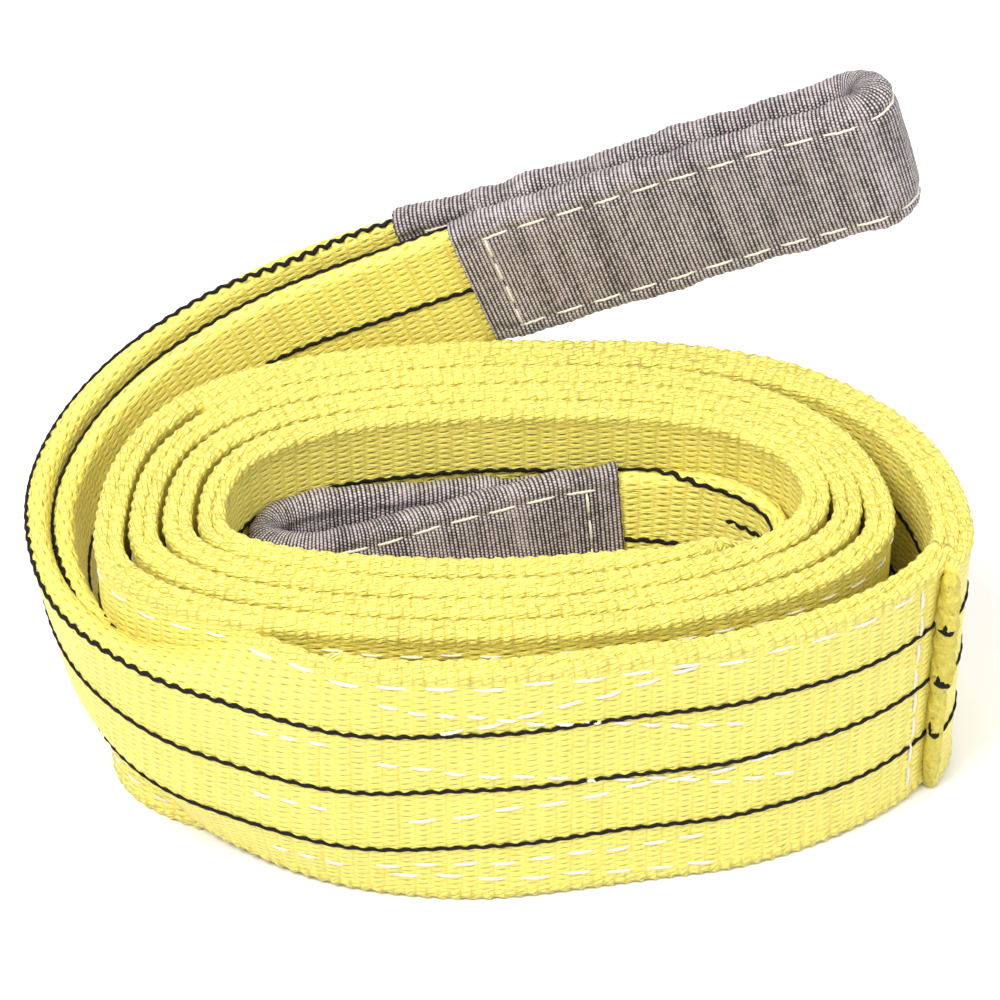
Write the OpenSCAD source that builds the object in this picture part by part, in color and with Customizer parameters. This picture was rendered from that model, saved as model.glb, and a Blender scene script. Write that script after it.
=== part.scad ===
// Duplex flat web sling with two reinforced eyes, rolled up on edge into a flattened oval coil.
// The coil stands on the lower edge of its web. The outer eye stands free and rises behind it.

/* [Web] */
// Width of the flat web
web_width = 90; // [80:1:92]
// Thickness that one ply takes up in the coil
ply = 3.9; // [3.4:0.1:3.9]
// Clearance between two plies that are sewn together
ply_gap = 0.15; // [0.1:0.05:0.15]
// Thickness of the web where it is folded to half width
folded_ply = 6.4; // [5:0.1:6.4]

/* [Coil] */
// Reach of the first turn to the right of the coil's centre
right_first = 90.8; // [90:0.1:91]
// Reach of the first turn towards the front
front_first = 31.5; // [31:0.1:32]
// Reach of the first turn to the left
left_first = 91; // [90.5:0.1:91.5]
// Reach of the first turn towards the back
back_first = 53.2; // [53:0.1:53.4]
// Growth of each turn at the right
right_pitch = 9.3; // [9.2:0.1:9.5]
// Growth of each turn at the front
front_pitch = 9.4; // [9.3:0.1:9.6]
// Growth of each turn at the left
left_pitch = 10.1; // [10:0.1:10.3]
// Growth of each turn at the back
back_pitch = 9.2; // [9.1:0.1:9.3]
// Extra reach of the last turn at the right, where it stands off the turns inside it
right_slack = 13.8; // [10:0.1:14]
// Extra reach of the last turn at the front
front_slack = 11.3; // [10:0.1:12]
// Extra reach of the last turn at the back, for the splice's third ply
back_slack = 4; // [3.8:0.1:4.2]

/* [Eyes] */
// Angle at which the outer eye rises from the level
eye_rise = 20.5; // [18:0.5:22]
// Length of the outer eye's straight folded web and bight
eye_length = 172; // [165:1:176]
// Distance of the outer eye's middle plane behind the coil's centre
eye_back = 103.5; // [102:0.5:106]
// Distance from that middle plane to the middle of each leg
leg_spread = 8.6; // [8.4:0.1:9.5]
// Reach of the outer eye's legs to the left of the coil's centre
leg_reach = 147.2; // [146:0.2:149]
// Wall thickness of the wear sleeves
sleeve_wall = 1.4; // [1:0.1:1.5]
// Length of the outer eye's web that shows before the sleeve on the outer leg
bare_outer = 8; // [6:1:20]
// Length of the outer eye's web that shows before the sleeve on the inner leg
bare_inner = 24; // [20:1:30]

/* [Sewing] */
// Width of a row of sewing thread
thread_width = 1.2; // [0.8:0.1:1.6]
// Height of the thread above the web
thread_height = 0.35; // [0.2:0.05:0.4]
// Distance of the edge rows from the web's edge
row_inset = 9; // [7:1:12]
// Width of a woven marker yarn
yarn_width = 1.4; // [1:0.1:1.8]

/* [Hidden] */

yellow = "#f0e23c";
shade_yellow = "#d9c92f";
grey = "#9a929a";
thread_white = "#f2efe4";
yarn_black = "#1c1a1a";

half_width = web_width / 2;
folded_half = web_width / 4;
clear = 0.02;
sleeve_clear = 0.3;

// Turns are counted from the inside. Each turn has four stations, where it reaches furthest to the
// right, front, left and back, and a superellipse quarter joins each station to the next.
last_turn = 4;
front_at = -7;
back_at = 30;
right_level = [14, 7, 2, -4, -10];
left_level = [-6, -6, -8, -12];
squareness = [2.1, 2.3, 2.9, 2.12];
squareness_growth = [-0.06, 0, 0, 0.04];
quarter_steps = 12;
fold_quarter = 1;
bead_quarter = 16 + 3 / quarter_steps;
last_quarter = 17;
tail_quarter = 14 + 6 / quarter_steps;

function right_reach(k) = right_first + right_pitch * k + (k == last_turn ? right_slack : 0);
function front_reach(k) = front_first + front_pitch * k + (k == last_turn ? front_slack : 0);
function left_reach(k) = left_first + left_pitch * k;
function back_reach(k) = back_first + back_pitch * k + (k == last_turn - 1 ? back_slack : 0);

function station(i) = let (k = floor(i / 4), side = i % 4)
    side == 0 ? [right_reach(k), right_level[k]]
    : side == 1 ? [front_at, -front_reach(k)]
    : side == 2 ? [-left_reach(k), left_level[k]]
    : [back_at, back_reach(k)];

// One point of the body's outer face: i is the quarter and t runs from 0 to 1 along it.
function quarter_point(i, t) = let (a = station(i), b = station(i + 1), side = i % 4,
        e = 2 / (squareness[side] + squareness_growth[side] * floor(i / 4)),
        fall = pow(max(cos(90 * t), 0), e), rise = pow(max(sin(90 * t), 0), e))
    i % 2 == 0 ? [b[0] + (a[0] - b[0]) * fall, a[1] + (b[1] - a[1]) * rise]
    : [a[0] + (b[0] - a[0]) * rise, b[1] + (a[1] - b[1]) * fall];

function coil_point(q) = let (i = min(floor(q), last_quarter - 1)) quarter_point(i, q - i);

// A point at some depth below the outer face, measured square to it.
function unit(v) = v / norm(v);
function coil_inside(q, depth) = let (d = unit(coil_point(q + 0.01) - coil_point(q - 0.01)))
    coil_point(q) + [d[1], -d[0]] * depth;

// All bands share one set of steps, so that their faces run side by side.
function coil_steps(from, to) = concat([from],
    [for (j = [floor(from * quarter_steps + 0.01) + 1 : ceil(to * quarter_steps - 0.01) - 1]) j / quarter_steps],
    [to]);

// Unit vectors along a free path, and the path moved sideways.
function heading(path, j) = unit(path[min(j + 1, len(path) - 1)] - path[max(j - 1, 0)]);
function inward(path, j) = let (d = heading(path, j)) [d[1], -d[0]];
function shifted(path, depth) = [for (j = [0 : len(path) - 1]) path[j] + inward(path, j) * depth];
function reversed(path) = [for (j = [len(path) - 1 : -1 : 0]) path[j]];
function band(path, from, to) = concat(shifted(path, from), reversed(shifted(path, to)));

function bezier(c, t) = c[0] * pow(1 - t, 3) + 3 * c[1] * t * pow(1 - t, 2)
    + 3 * c[2] * t * t * (1 - t) + c[3] * pow(t, 3);
function bezier_path(c, from, to, steps) = [for (j = [0 : steps]) bezier(c, from + (to - from) * j / steps)];

// A smooth curve through a few points.
function spline_point(p, i, t) = let (n = len(p) - 1, a = p[max(i - 1, 0)], b = p[i],
        c = p[min(i + 1, n)], d = p[min(i + 2, n)])
    0.5 * (2 * b + (c - a) * t + (2 * a - 5 * b + 4 * c - d) * t * t + (3 * b - a - 3 * c + d) * t * t * t);
function spline(p, steps) = concat([for (i = [0 : len(p) - 2]) for (j = [0 : steps - 1])
    spline_point(p, i, j / steps)], [p[len(p) - 1]]);

// The model's origin is under the middle of its box, so the coil's centre lies off it.
front_face = front_reach(last_turn) - ply - ply_gap;
sleeve_half = folded_ply / 2 + sleeve_clear + sleeve_wall;
eye_half = leg_spread + sleeve_half;
coil_at = [(leg_reach - right_reach(last_turn)) / 2, (front_face - eye_back - eye_half) / 2, 0];

// Depths of the plies below the body's outer face.
inner_from = ply + ply_gap;
inner_to = inner_from + ply;
tail_from = inner_to + ply_gap;
tail_to = tail_from + ply;

module upright(outline, low, high) {
    translate(coil_at) translate([0, 0, low]) linear_extrude(high - low) polygon(outline);
}

module coil_band(from, to, depth_from, depth_to, low, high) {
    steps = coil_steps(from, to);
    upright([each [for (q = steps) coil_inside(q, depth_from)],
        each [for (j = [len(steps) - 1 : -1 : 0]) coil_inside(steps[j], depth_to)]], low, high);
}

// ---- body plies ----
module body_outer_ply() {
    color(yellow) coil_band(fold_quarter, bead_quarter, 0, ply, 0, web_width);
}

module body_inner_ply() {
    color(yellow) coil_band(fold_quarter, last_quarter, inner_from, inner_to, 0, web_width);
}

module splice_tail() {
    color(shade_yellow) coil_band(tail_quarter, last_quarter, tail_from, tail_to, 0, web_width);
}

// The melted ends stand a little proud of the plies that they close.
bead_length = 0.035;
bead_swell = 0.5;
module sealed_web_ends() {
    color(shade_yellow) {
        coil_band(bead_quarter + 0.002, bead_quarter + bead_length, -bead_swell, ply, 0, web_width - 1);
        coil_band(tail_quarter - bead_length, tail_quarter - 0.002, tail_from + ply_gap, tail_to, 1, web_width);
    }
}

// ---- legs of the outer eye ----
// Each leg follows two curves in the coil's frame: from the front of the coil round to its left,
// and from there up to the eye. Curves give the leg's outer face at the middle of its width.
function lie_flat(x, y) = [x, y, half_width];
eye_x = -33;
front_bow = 0.64;
back_bow = 0.6;
rise_slope = tan(eye_rise);
eye_z = 94.2;
left_at = 28;

function front_curve(reach, front) = [lie_flat(front_at, -front),
    lie_flat(front_at - front_bow * (reach + front_at), -front),
    lie_flat(-reach, left_at - front_bow * (left_at + front)), lie_flat(-reach, left_at)];
function back_curve(reach, back) = let (run = back_bow * (reach + eye_x))
    [lie_flat(-reach, left_at), lie_flat(-reach, left_at + back_bow * (back - left_at)),
    [eye_x - run, back, eye_z - rise_slope * run], [eye_x, back, eye_z]];

inner_reach = leg_reach - folded_ply - 0.3;
outer_back = eye_back + leg_spread + folded_ply / 2;
inner_back = eye_back - leg_spread + folded_ply / 2;
outer_front_curve = front_curve(leg_reach, front_face);
outer_back_curve = back_curve(leg_reach, outer_back);
inner_front_curve = front_curve(inner_reach, front_face - ply - ply_gap);
inner_back_curve = back_curve(inner_reach, inner_back);

// A ring is a slice across the leg: p its outer face's middle, d its plan heading, lean its tilt.
function ring(p, d, half, thick, lean) = let (
        up = [-sin(lean) * d[0], -sin(lean) * d[1], cos(lean)] * half,
        side = [d[1], -d[0], 0] * thick)
    [p - up, p + up, p + up + side, p - up + side];
function plan(v) = unit([v[0], v[1]]);
function smooth(t) = let (u = min(max(t, 0), 1)) u * u * (3 - 2 * u);
function curve_heading(c, t) = plan(bezier(c, min(t + 0.01, 1)) - bezier(c, max(t - 0.01, 0)));
function curve_lean(c, t) = let (a = bezier(c, max(t - 0.01, 0)), b = bezier(c, min(t + 0.01, 1)))
    atan2(b[2] - a[2], norm([b[0] - a[0], b[1] - a[1]]));

front_steps = 12;
back_steps = 12;
back_start = 0.03;
// The web curls to half width on its way from the coil's front to its left, and only thickens
// near the end, where the curled edges lie flat on it.
front_start = 0.001;
fold_end = 0.9;
thick_from = 0.6;
function front_rings(c) = [for (j = [0 : front_steps]) let (t = max(j / front_steps, front_start),
        f = smooth(t / fold_end), g = smooth((t - thick_from) / (1 - thick_from)))
    ring(bezier(c, t), curve_heading(c, t), half_width + (folded_half - half_width) * f,
        ply + (folded_ply - ply) * g, 0)];
function back_rings(c, from, to) = [for (j = [0 : back_steps]) let (t = from + (to - from) * j / back_steps)
    ring(bezier(c, t), curve_heading(c, t), folded_half, folded_ply, curve_lean(c, t))];

module sweep(rings) {
    n = len(rings);
    points = [for (r = rings) for (p = r) p];
    sides = [for (j = [0 : n - 2]) for (s = [0 : 3]) let (a = 4 * j + s, b = 4 * j + (s + 1) % 4)
        each [[a, b + 4, b], [a, a + 4, b + 4]]];
    last = 4 * n - 4;
    caps = [[0, 1, 2], [0, 2, 3], [last, last + 2, last + 1], [last, last + 3, last + 2]];
    translate(coil_at) polyhedron(points = points, faces = concat(sides, caps));
}

// The free eye swings about an upright line on the outer face of its outer leg.
outer_split = 0.5;
inner_split = 0.52;
split_gap = 0.006;

module outer_leg_root() {
    color(yellow) sweep(concat(front_rings(outer_front_curve),
        back_rings(outer_back_curve, back_start, outer_split - split_gap)));
}

module inner_leg_root() {
    color(shade_yellow) sweep(concat(front_rings(inner_front_curve),
        back_rings(inner_back_curve, back_start, inner_split - split_gap)));
}

module outer_leg_end() {
    color(yellow) sweep(back_rings(outer_back_curve, outer_split + split_gap, 0.999));
}

module inner_leg_end() {
    color(shade_yellow) sweep(back_rings(inner_back_curve, inner_split + split_gap, 0.999));
}

// ---- outer eye ----
// The eye is drawn lying along X, and then tilted up by its rise.
module eye_place() {
    translate(coil_at + [eye_x, eye_back, eye_z]) rotate([0, -eye_rise, 0]) children();
}

// A long U whose legs run along X, with its bight at the far end.
module bight_shape(start_a, start_b, far, inside, outside) {
    difference() {
        union() {
            translate([start_a, inside]) square([far - outside - start_a, outside - inside]);
            translate([start_b, -outside]) square([far - outside - start_b, outside - inside]);
            translate([far - outside, 0]) circle(r = outside, $fn = 64);
        }
        translate([start_a - 1, -inside]) square([far - outside - start_a + 1, 2 * inside]);
        translate([far - outside, 0]) circle(r = inside, $fn = 64);
    }
}

web_inside = leg_spread - folded_ply / 2;
web_outside = leg_spread + folded_ply / 2;
web_far = eye_length - sleeve_clear - sleeve_wall;
sleeve_tall = folded_half + sleeve_clear + sleeve_wall;

module outer_eye_web() {
    color(yellow) eye_place() translate([0, 0, -folded_half])
        linear_extrude(2 * folded_half) bight_shape(0, 0, web_far, web_inside, web_outside);
}

module outer_eye_sleeve() {
    color(grey) eye_place() difference() {
        translate([0, 0, -sleeve_tall]) linear_extrude(2 * sleeve_tall)
            bight_shape(bare_outer, bare_inner, eye_length, leg_spread - sleeve_half, eye_half);
        translate([0, 0, -folded_half - sleeve_clear]) linear_extrude(2 * (folded_half + sleeve_clear))
            bight_shape(bare_outer - 1, bare_inner - 1, web_far + sleeve_clear,
                web_inside - sleeve_clear, web_outside + sleeve_clear);
    }
}

// Two rows along the face of each leg, and a row across it near the sleeve's end.
seam_inset = 6;
module leg_seams(start, end, tall, face) {
    for (level = [-tall + seam_inset, tall - seam_inset])
        translate([start + seam_inset, face, level - thread_width / 2])
            cube([end - start - seam_inset, thread_height, thread_width]);
    translate([start + seam_inset - thread_width - clear, face, -tall + seam_inset])
        cube([thread_width, thread_height, 2 * (tall - seam_inset)]);
}

module outer_sleeve_seams() {
    seam_end = eye_length - eye_half;
    color(thread_white) eye_place() {
        leg_seams(bare_outer, seam_end, sleeve_tall, eye_half + clear);
        leg_seams(bare_inner, seam_end, sleeve_tall, -eye_half - clear - thread_height);
    }
}

// ---- inner eye ----
// Middle line of the folded web: the back leg, the bight at the left, and the front leg.
inner_eye_points = [[38, 39.2], [0, 35.2], [-35, 30], [-56, 26.5], [-68.5, 22.5], [-73.2, 15.3],
    [-68.5, 8.3], [-55, 6.5], [-37, 10.5], [-20, 19], [-4, 24], [14, 26], [38, 28.4]];
inner_eye_path = spline(inner_eye_points, 5);

module inner_eye_web() {
    color(yellow) upright(band(inner_eye_path, -folded_ply / 2, folded_ply / 2),
        half_width - folded_half, half_width + folded_half);
}

module inner_eye_sleeve() {
    trimmed = [for (j = [1 : len(inner_eye_path) - 2]) inner_eye_path[j]];
    color(grey) difference() {
        upright(band(trimmed, -sleeve_half, sleeve_half), half_width - sleeve_tall, half_width + sleeve_tall);
        upright(band(inner_eye_path, -folded_ply / 2 - sleeve_clear, folded_ply / 2 + sleeve_clear),
            half_width - folded_half - sleeve_clear, half_width + folded_half + sleeve_clear);
    }
}

// The two folded plies from the eye round the first turn to the front, where the body begins.
leg_gap = [0.4, 0];
outer_turn = [right_reach(0) - ply / 2, right_level[0]];
inner_turn = outer_turn - [ply + ply_gap, 0];
outer_finish = [front_at, ply / 2 - front_first];
front_turn = bezier_path([outer_turn, outer_turn - [0, 24], outer_finish + [57, 0], outer_finish],
    0.1, 0.995, 14);
function eye_to_turn(start, turn, bow) = bezier_path([start, start + [28, 0], turn + [0, bow], turn], 0, 1, 10);
outer_path = concat(eye_to_turn(inner_eye_points[0] + leg_gap, outer_turn, 8), front_turn);
inner_path = concat(eye_to_turn(inner_eye_points[len(inner_eye_points) - 1] + leg_gap, inner_turn, 6),
    shifted(front_turn, ply + ply_gap));

module inner_eye_legs() {
    color(yellow) for (leg = [outer_path, inner_path])
        upright(band(leg, -ply / 2, ply / 2), half_width - folded_half, half_width + folded_half);
}

module inner_sleeve_seams() {
    front_part = [for (j = [46 : 54]) inner_eye_path[j]];
    color(thread_white) for (level = [-sleeve_tall + seam_inset, sleeve_tall - seam_inset])
        upright(band(front_part, -sleeve_half - clear - thread_height, -sleeve_half - clear),
            half_width + level - thread_width / 2, half_width + level + thread_width / 2);
}

// ---- sewing and marker yarns ----
splice_from = bead_quarter + 1 / quarter_steps;
yarn_height = 0.25;
module splice_seams() {
    color(thread_white) {
        for (level = [row_inset, half_width - 12, half_width + 12, web_width - row_inset])
            coil_band(splice_from, last_quarter, inner_from - clear - thread_height, inner_from - clear,
                level - thread_width / 2, level + thread_width / 2);
        // The row across the web lies over the marker yarns.
        coil_band(splice_from - 0.012, splice_from - 0.002, inner_from - 2 * clear - yarn_height - thread_height,
            inner_from - 2 * clear - yarn_height, row_inset / 2, web_width - row_inset / 2);
    }
}

seam_from = 12 + 7 / quarter_steps;
seam_to = 14 + 5 / quarter_steps;
module edge_seams() {
    color(thread_white) for (level = [row_inset, web_width - row_inset])
        coil_band(seam_from, seam_to, -clear - thread_height, -clear, level - thread_width / 2, level + thread_width / 2);
}

module marker_yarns() {
    color(yarn_black) for (level = [web_width / 4, web_width / 2, web_width * 3 / 4])
        coil_band(bead_quarter + 0.5 / quarter_steps, last_quarter, inner_from - clear - yarn_height, inner_from - clear,
            level - yarn_width / 2, level + yarn_width / 2);
}

body_outer_ply();
body_inner_ply();
splice_tail();
sealed_web_ends();
outer_leg_root();
inner_leg_root();
outer_leg_end();
inner_leg_end();
outer_eye_web();
outer_eye_sleeve();
outer_sleeve_seams();
inner_eye_web();
inner_eye_legs();
inner_eye_sleeve();
inner_sleeve_seams();
splice_seams();
edge_seams();
marker_yarns();
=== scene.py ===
"""Flat web sling: woven webs, wear sleeves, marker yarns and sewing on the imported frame.

Lengths are in millimetres in the coil's own frame until a mesh is made, which is in metres.
"""
import math

import bmesh
import bpy
import numpy as np
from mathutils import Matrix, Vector


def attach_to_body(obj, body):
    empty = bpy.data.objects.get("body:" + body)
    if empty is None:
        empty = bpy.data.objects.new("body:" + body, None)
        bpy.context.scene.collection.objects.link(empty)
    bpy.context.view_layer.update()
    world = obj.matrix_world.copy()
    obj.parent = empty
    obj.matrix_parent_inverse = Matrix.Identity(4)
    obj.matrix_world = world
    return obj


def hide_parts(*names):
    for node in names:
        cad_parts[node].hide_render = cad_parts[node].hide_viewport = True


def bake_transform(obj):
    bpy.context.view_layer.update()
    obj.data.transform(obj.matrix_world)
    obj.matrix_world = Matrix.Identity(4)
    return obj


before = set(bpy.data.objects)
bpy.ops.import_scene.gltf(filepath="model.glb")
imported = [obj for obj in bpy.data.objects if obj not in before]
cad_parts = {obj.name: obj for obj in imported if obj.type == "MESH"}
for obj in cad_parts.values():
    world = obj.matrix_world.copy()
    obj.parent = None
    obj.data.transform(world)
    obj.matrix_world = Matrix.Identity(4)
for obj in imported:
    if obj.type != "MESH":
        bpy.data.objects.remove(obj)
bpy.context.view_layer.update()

MM = 0.001


# ---------------------------------------------------------------- camera
def add_camera():
    target = Vector((0.0027, 0.0197, 0.060))
    elevation = math.radians(39)
    distance = 1.15
    data = bpy.data.cameras.new("Camera")
    data.lens = 131.4
    data.sensor_width = 36
    camera = bpy.data.objects.new("Camera", data)
    back = Vector((0, -math.cos(elevation), math.sin(elevation)))
    camera.location = target + distance * back
    camera.rotation_euler = (math.pi / 2 - elevation, 0, 0)
    bpy.context.scene.collection.objects.link(camera)
    bpy.context.scene.camera = camera


# ---------------------------------------------------------------- the coil's shape
# The sizes and stations here are those of the CAD model.
HALF_WIDTH = 45.0
FOLDED_HALF = 22.5
PLY = 3.9
PLY_GAP = 0.15
FOLDED_PLY = 6.4
LAST_TURN = 4
LAST_QUARTER = 17
FIRST_RIGHT = 90.8
FIRST_FRONT = 31.5
# Where each turn crosses the coil's four sides: the last turn stands clear of the others.
RIGHT = [(FIRST_RIGHT + 9.3 * k + 13.8 * (k == LAST_TURN), level)
         for k, level in enumerate([14, 7, 2, -4, -10])]
FRONT = [(-7, -(FIRST_FRONT + 9.4 * k + 11.3 * (k == LAST_TURN))) for k in range(5)]
LEFT = [(-(91 + 10.1 * k), level) for k, level in enumerate([-6, -6, -8, -12])]
BACK = [(30, 53.2 + 9.2 * k + 4 * (k == LAST_TURN - 1)) for k in range(4)]
# How square each of a turn's four quarters is, and how that changes from turn to turn.
SQUARENESS = np.array([2.1, 2.3, 2.9, 2.12])
SQUARENESS_GROWTH = np.array([-0.06, 0, 0, 0.04])
# The quarters of the sealed end, the tail's end and the cut under the leg, and of the body's start
# and the place where the legs leave the turns.
BEAD_QUARTER = 16.19
TAIL_QUARTER = 14.42
CUT_QUARTER = 16.12
BODY_QUARTER = 1.04
LEG_QUARTER = 16.97
# How far the plies' middles lie below a turn's outer face.
OUTER_DEPTH = PLY / 2
INNER_DEPTH = PLY + PLY_GAP + PLY / 2
TAIL_DEPTH = 2 * (PLY + PLY_GAP) + PLY / 2

# The free eye's root, its rise and length, and the path of its legs round the coil's left end.
EYE_X = -33.0
EYE_BACK = 103.5
EYE_Z = 94.2
EYE_RISE = math.radians(20.5)
EYE_LENGTH = 172.0
LEG_SPREAD = 8.6
LEG_REACH = 147.2
FRONT_FACE = -FRONT[4][1] - PLY - PLY_GAP
LEFT_AT = 28.0
FRONT_BOW = 0.64
BACK_BOW = 0.6
EYE_HALF_DEPTH = 13.5
# Centres the whole sling on the frame's origin.
COIL_AT = np.array([(LEG_REACH - RIGHT[4][0]) / 2, (FRONT_FACE - EYE_BACK - EYE_HALF_DEPTH) / 2, 0])
# The last turn ends at the front, so the left and back lists are filled up to the same length.
TURNS = zip(RIGHT, FRONT, LEFT + [(0, 0)], BACK + [(0, 0)], strict=True)
STATIONS = np.array([station for turn in TURNS for station in turn], float)


def unit(v):
    return v / np.linalg.norm(v, axis=-1, keepdims=True)


def smooth(t):
    u = np.clip(t, 0, 1)
    return u * u * (3 - 2 * u)


def mix(a, b, t):
    return a + (b - a) * t


def coil_point(q):
    """The point on the coil's outer face after q quarters of a turn."""
    quarter = np.clip(np.floor(q), 0, LAST_QUARTER - 1).astype(int)
    angle = (q - quarter) * math.pi / 2
    side = quarter % 4
    exponent = 2 / (SQUARENESS[side] + SQUARENESS_GROWTH[side] * (quarter // 4))
    fall = np.maximum(np.cos(angle), 0) ** exponent
    rise = np.maximum(np.sin(angle), 0) ** exponent
    a, b = STATIONS[quarter], STATIONS[quarter + 1]
    even = quarter % 2 == 0
    x = np.where(even, b[:, 0] + (a[:, 0] - b[:, 0]) * fall, a[:, 0] + (b[:, 0] - a[:, 0]) * rise)
    y = np.where(even, a[:, 1] + (b[:, 1] - a[:, 1]) * rise, b[:, 1] + (a[:, 1] - b[:, 1]) * fall)
    return np.stack([x, y], 1)


def coil_line(start, end, depth):
    """A line along the coil's turns, half way up them and at one depth below their outer face."""
    q = np.linspace(start, end, max(8, int((end - start) * 90)))
    heading = unit(coil_point(q + 0.01) - coil_point(q - 0.01))
    flat = coil_point(q) + np.stack([heading[:, 1], -heading[:, 0]], 1) * depth
    return np.column_stack([flat, np.full(len(q), HALF_WIDTH)])


def bezier(c, t):
    c = [np.asarray(p, float) for p in c]
    t = t[:, None]
    return (c[0] * (1 - t) ** 3 + 3 * c[1] * t * (1 - t) ** 2 + 3 * c[2] * t * t * (1 - t)
            + c[3] * t ** 3)


def spline(points, steps):
    p = np.asarray(points, float)
    line = []
    for i in range(len(p) - 1):
        a, b, c, d = p[max(i - 1, 0)], p[i], p[i + 1], p[min(i + 2, len(p) - 1)]
        for t in np.arange(steps) / steps:
            line.append(0.5 * (2 * b + (c - a) * t + (2 * a - 5 * b + 4 * c - d) * t * t
                               + (3 * b - a - 3 * c + d) * t ** 3))
    line.append(p[-1])
    return np.array(line)


def left_of(line):
    """Level unit vectors to the left of a line, which is away from the coil's centre."""
    heading = np.gradient(line, axis=0)
    return unit(np.column_stack([-heading[:, 1], heading[:, 0], np.zeros(len(line))]))


def resample(line, step, values):
    """The line at even steps, with other values along it."""
    lengths = np.concatenate([[0], np.cumsum(np.linalg.norm(np.diff(line, axis=0), axis=1))])
    count = max(4, int(round(lengths[-1] / step)))
    at = np.linspace(0, lengths[-1], count + 1)
    even = np.column_stack([np.interp(at, lengths, line[:, k]) for k in range(line.shape[1])])
    return at, even, [np.interp(at, lengths, v) for v in values]


# How many steps of a web or a sleeve its middle line and its other values are blurred over.
LINE_BLUR = 4
VALUE_BLUR = 6


def blurred(line, steps):
    """The line with its kinks rounded over a number of steps. Its ends stay where they are."""
    reach = 3 * steps
    kernel = np.exp(-0.5 * (np.arange(-reach, reach + 1) / steps) ** 2)
    kernel /= kernel.sum()
    head = 2 * line[0] - line[reach:0:-1]
    tail = 2 * line[-1] - line[-2:-reach - 2:-1]
    long = np.concatenate([head, line, tail])
    columns = [np.convolve(long[:, k], kernel, mode="valid") for k in range(line.shape[1])]
    return np.column_stack(columns)


# ---------------------------------------------------------------- one length of web
WEFT = 4.6
RING_STEP = WEFT / 4
WEB_THICK = 3.55
FOLD_THICK = 2.9
FOLD_RADIUS = 1.45
# How much a fold draws in each half of the web's width.
FOLD_LOSS = 1.6
# How far from the web's middle it folds inside a sleeve.
SLEEVE_FOLD_AT = 21.9
UPRIGHT = np.array([0.0, 0.0, 1.0])


def frames(line, upright):
    """Headings of a line, with the directions up across the web and out of its left face."""
    heading = unit(np.gradient(line, axis=0))
    side = unit(np.cross(upright, heading))
    return heading, side, np.cross(heading, side)


def leaning(line, degrees):
    """Uprights that lean over to the left of a level line, by an angle for each point."""
    lean = np.radians(degrees)[:, None]
    return UPRIGHT * np.cos(lean) + left_of(line) * np.sin(lean)


def front_slack(line):
    """How far the loose last turn sags out at the left of the front and in at the right of it."""
    x, y = line[:, 0], line[:, 1]
    inward = 2.0 * np.exp(-((x - 40) / 26) ** 2)
    outward = 3.5 * np.exp(-((x + 42) / 30) ** 2)
    return (inward - outward) * smooth((-y - 60) / 7)


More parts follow.
